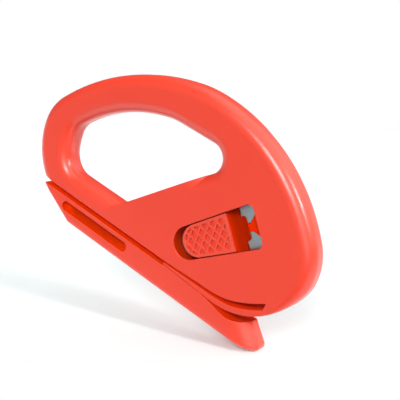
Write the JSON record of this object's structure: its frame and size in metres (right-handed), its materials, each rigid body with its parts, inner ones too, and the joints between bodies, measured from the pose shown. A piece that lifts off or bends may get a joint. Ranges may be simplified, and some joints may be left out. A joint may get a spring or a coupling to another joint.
{
  "type": "gift wrap cutter",
  "caption": "Flat hand-held paper cutter with a finger loop, a guiding foot under the paper slit and a thumb slide that carries a steel blade.",
  "frame": {"origin": "centre of the bounding box's footprint, on the plane of the plain back face", "axes": "+X along the sole from the tail to the foot's tip, +Y from the sole to the finger loop, +Z from the back to the face with the thumb window"},
  "size_m": [0.108, 0.0636, 0.01],
  "materials": {
    "housing_plastic": "semi-gloss moulded ABS",
    "slide_plastic": "semi-gloss moulded ABS",
    "blade_steel": "ground spring steel"
  },
  "bodies": {
    "housing": {"front_shell": "housing_plastic", "rear_shell": "housing_plastic"},
    "slide": {"thumb_slide": "slide_plastic", "blade": "blade_steel"}
  },
  "joints": [
    {"name": "blade_slide", "type": "slide", "parent": "housing", "child": "slide", "axis": [0.7278, 0.6858, 0], "range_m": [-0.0025, 0.008]}
  ]
}
